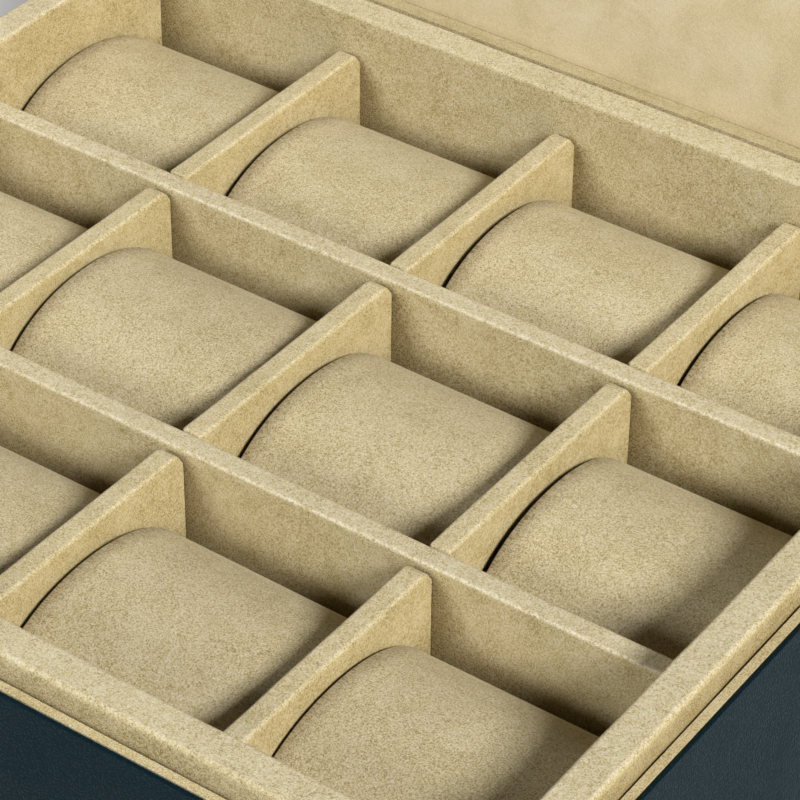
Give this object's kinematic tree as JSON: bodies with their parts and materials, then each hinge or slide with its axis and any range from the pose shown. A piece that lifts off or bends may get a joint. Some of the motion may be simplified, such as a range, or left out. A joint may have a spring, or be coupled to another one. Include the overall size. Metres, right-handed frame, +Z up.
{
  "type": "watch display box",
  "caption": "Shallow hinged display box: leather outside, suede inside, a raised collar, a grid of cells each holding a lift-out oval pillow, and a hasp at the front.",
  "frame": {"origin": "centre of the felt underside", "axes": "+Z up, +X along the lid's hinge, +Y from the clasp side to the hinge side"},
  "size_m": [0.273, 0.3385, 0.3],
  "materials": {
    "tan_suede": "short napped suede over board",
    "pillow_suede": "short napped suede over filling",
    "lid_lining_suede": "smooth suede over board",
    "teal_leather": "fine grained, satin",
    "black_felt": "felt",
    "board": "raw board",
    "satin_steel": "satin"
  },
  "bodies": {
    "base": {"base_felt": "black_felt", "base_bottom": "board", "tray_floor": "tan_suede", "base_wall_front": "tan_suede", "base_wall_back": "tan_suede", "base_wall_left": "tan_suede", "base_wall_right": "tan_suede", "base_leather": "teal_leather", "collar_front": "tan_suede", "collar_back": "tan_suede", "collar_left": "tan_suede", "collar_right": "tan_suede", "divider_long_1": "tan_suede", "divider_long_2": "tan_suede", "divider_cross_1": "tan_suede", "divider_cross_2": "tan_suede", "divider_cross_3": "tan_suede", "hinge_left_base_leaf": "satin_steel", "hinge_right_base_leaf": "satin_steel", "hinge_left_pin": "satin_steel", "hinge_right_pin": "satin_steel", "catch_plate": "satin_steel", "screw_left_base_a": "satin_steel", "screw_left_base_b": "satin_steel", "screw_right_base_a": "satin_steel", "screw_right_base_b": "satin_steel", "screw_catch_a": "satin_steel", "screw_catch_b": "satin_steel"},
    "lid": {"lid_wall_front": "tan_suede", "lid_wall_back": "tan_suede", "lid_wall_left": "tan_suede", "lid_wall_right": "tan_suede", "lid_lining": "lid_lining_suede", "lid_board": "board", "lid_leather": "teal_leather", "hinge_left_lid_leaf": "satin_steel", "hinge_right_lid_leaf": "satin_steel", "hasp_bracket": "satin_steel", "hasp_pin": "satin_steel", "screw_left_lid_a": "satin_steel", "screw_left_lid_b": "satin_steel", "screw_right_lid_a": "satin_steel", "screw_right_lid_b": "satin_steel", "screw_bracket_a": "satin_steel", "screw_bracket_b": "satin_steel"},
    "hasp": {"hasp": "satin_steel"},
    "pillow_1_1": {"pillow_1_1": "pillow_suede"},
    "pillow_1_2": {"pillow_1_2": "pillow_suede"},
    "pillow_1_3": {"pillow_1_3": "pillow_suede"},
    "pillow_1_4": {"pillow_1_4": "pillow_suede"},
    "pillow_2_1": {"pillow_2_1": "pillow_suede"},
    "pillow_2_2": {"pillow_2_2": "pillow_suede"},
    "pillow_2_3": {"pillow_2_3": "pillow_suede"},
    "pillow_2_4": {"pillow_2_4": "pillow_suede"},
    "pillow_3_1": {"pillow_3_1": "pillow_suede"},
    "pillow_3_2": {"pillow_3_2": "pillow_suede"},
    "pillow_3_3": {"pillow_3_3": "pillow_suede"},
    "pillow_3_4": {"pillow_3_4": "pillow_suede"}
  },
  "joints": [
    {"name": "lid_hinge", "type": "hinge", "parent": "base", "child": "lid", "pos_m": [0, 0.12155, 0.06015], "axis": [-1, 0, 0], "range_deg": [-108, 0]},
    {"name": "hasp_swing", "type": "hinge", "parent": "lid", "child": "hasp", "pos_m": [0, 0.20045, 0.29212], "axis": [-1, 0, 0], "range_deg": [0, 135]},
    {"name": "pillow_1_1_lift", "type": "slide", "parent": "base", "child": "pillow_1_1", "axis": [0, 0, 1], "range_m": [0, 0.062]},
    {"name": "pillow_1_2_lift", "type": "slide", "parent": "base", "child": "pillow_1_2", "axis": [0, 0, 1], "range_m": [0, 0.062]},
    {"name": "pillow_1_3_lift", "type": "slide", "parent": "base", "child": "pillow_1_3", "axis": [0, 0, 1], "range_m": [0, 0.062]},
    {"name": "pillow_1_4_lift", "type": "slide", "parent": "base", "child": "pillow_1_4", "axis": [0, 0, 1], "range_m": [0, 0.062]},
    {"name": "pillow_2_1_lift", "type": "slide", "parent": "base", "child": "pillow_2_1", "axis": [0, 0, 1], "range_m": [0, 0.062]},
    {"name": "pillow_2_2_lift", "type": "slide", "parent": "base", "child": "pillow_2_2", "axis": [0, 0, 1], "range_m": [0, 0.062]},
    {"name": "pillow_2_3_lift", "type": "slide", "parent": "base", "child": "pillow_2_3", "axis": [0, 0, 1], "range_m": [0, 0.062]},
    {"name": "pillow_2_4_lift", "type": "slide", "parent": "base", "child": "pillow_2_4", "axis": [0, 0, 1], "range_m": [0, 0.062]},
    {"name": "pillow_3_1_lift", "type": "slide", "parent": "base", "child": "pillow_3_1", "axis": [0, 0, 1], "range_m": [0, 0.062]},
    {"name": "pillow_3_2_lift", "type": "slide", "parent": "base", "child": "pillow_3_2", "axis": [0, 0, 1], "range_m": [0, 0.062]},
    {"name": "pillow_3_3_lift", "type": "slide", "parent": "base", "child": "pillow_3_3", "axis": [0, 0, 1], "range_m": [0, 0.062]},
    {"name": "pillow_3_4_lift", "type": "slide", "parent": "base", "child": "pillow_3_4", "axis": [0, 0, 1], "range_m": [0, 0.062]}
  ]
}
